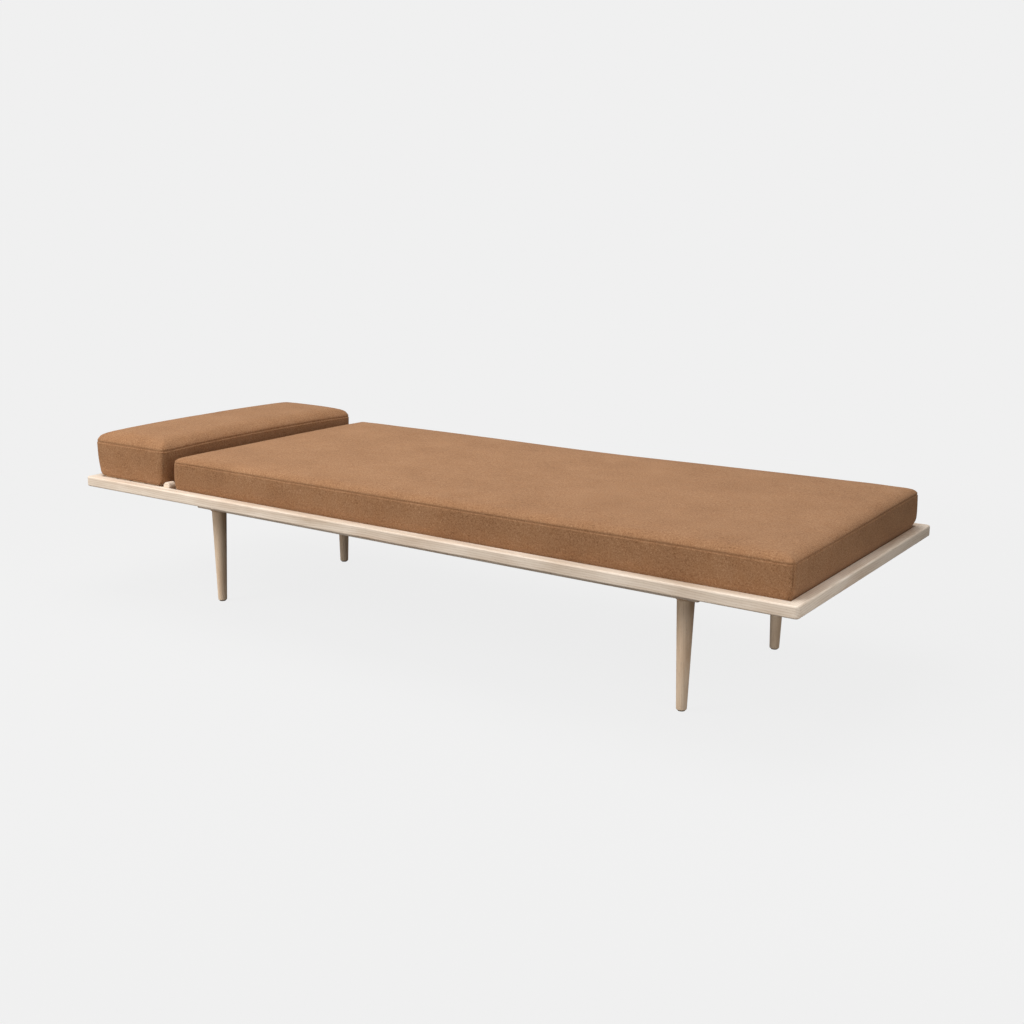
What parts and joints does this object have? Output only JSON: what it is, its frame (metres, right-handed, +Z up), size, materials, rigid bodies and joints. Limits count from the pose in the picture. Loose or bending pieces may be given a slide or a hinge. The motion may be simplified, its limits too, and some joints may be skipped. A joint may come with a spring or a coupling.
{
  "type": "daybed",
  "caption": "Low daybed with a slim oak rim frame on tapered turned legs, a flat wool mattress and a separate headrest cushion on a tilting, propped frame.",
  "frame": {"origin": "on the floor under the middle of the rim frame", "axes": "+X along the length towards the foot end, headrest at the -X end; -Y is the front long side; +Z up"},
  "size_m": [2, 0.8, 0.435],
  "materials": {
    "soaped_oak": "pale soaped oak, matt with an open straight grain",
    "slat_wood": "plain sanded beech slats",
    "wool_cover": "camel brown felted wool weave, matt with a soft nap",
    "foam_core": "cut cold foam",
    "steel_fittings": "zinc-plated steel",
    "bush_brass": "turned brass",
    "glide_plastic": "dark nylon"
  },
  "bodies": {
    "base": {"bed_slat_01": "slat_wood", "bed_slat_02": "slat_wood", "bed_slat_03": "slat_wood", "bed_slat_04": "slat_wood", "bed_slat_05": "slat_wood", "bed_slat_06": "slat_wood", "bed_slat_07": "slat_wood", "bed_slat_08": "slat_wood", "bed_slat_09": "slat_wood", "bed_slat_10": "slat_wood", "bed_slat_11": "slat_wood", "bed_slat_12": "slat_wood", "corner_tongues": "soaped_oak", "cross_rail_foot": "soaped_oak", "cross_rail_head": "soaped_oak", "end_rail_foot": "soaped_oak", "end_rail_head": "soaped_oak", "hinge_pins": "steel_fittings", "leg_foot_back": "soaped_oak", "leg_foot_front": "soaped_oak", "leg_glides": "glide_plastic", "leg_hanger_bolts": "steel_fittings", "leg_head_back": "soaped_oak", "leg_head_front": "soaped_oak", "leg_threaded_inserts": "steel_fittings", "long_bearer_back": "soaped_oak", "long_bearer_front": "soaped_oak", "mattress_core": "foam_core", "mattress_cover": "wool_cover", "rack_back": "soaped_oak", "rack_front": "soaped_oak", "rack_screws": "steel_fittings", "side_rail_back": "soaped_oak", "side_rail_front": "soaped_oak", "slat_bearer_screws": "steel_fittings", "slat_end_screws": "steel_fittings"},
    "headrest": {"headrest_arm_back": "soaped_oak", "headrest_arm_front": "soaped_oak", "headrest_cushion_core": "foam_core", "headrest_cushion_cover": "wool_cover", "headrest_screws": "steel_fittings", "headrest_slat_1": "slat_wood", "headrest_slat_2": "slat_wood", "headrest_slat_3": "slat_wood", "headrest_slat_4": "slat_wood", "headrest_stretcher_head": "soaped_oak", "headrest_stretcher_hinge": "soaped_oak", "prop_hanger_front": "soaped_oak", "prop_hanger_back": "soaped_oak", "prop_pivot_rod": "steel_fittings", "hinge_bushes": "bush_brass"},
    "prop": {"prop_arm_front": "soaped_oak", "prop_arm_back": "soaped_oak", "prop_foot_rod": "steel_fittings"}
  },
  "joints": [
    {"name": "headrest_tilt", "type": "hinge", "parent": "base", "child": "headrest", "pos_m": [-0.726, 0, 0.309], "axis": [0, 1, 0], "range_deg": [0, 28]},
    {"name": "prop_swing", "type": "hinge", "parent": "headrest", "child": "prop", "pos_m": [-0.841, 0, 0.309], "axis": [0, 1, 0], "range_deg": [-56, 0]}
  ],
  "couplings": [
    {"joint": "prop_swing", "follows": "headrest_tilt", "ratio": -2}
  ]
}
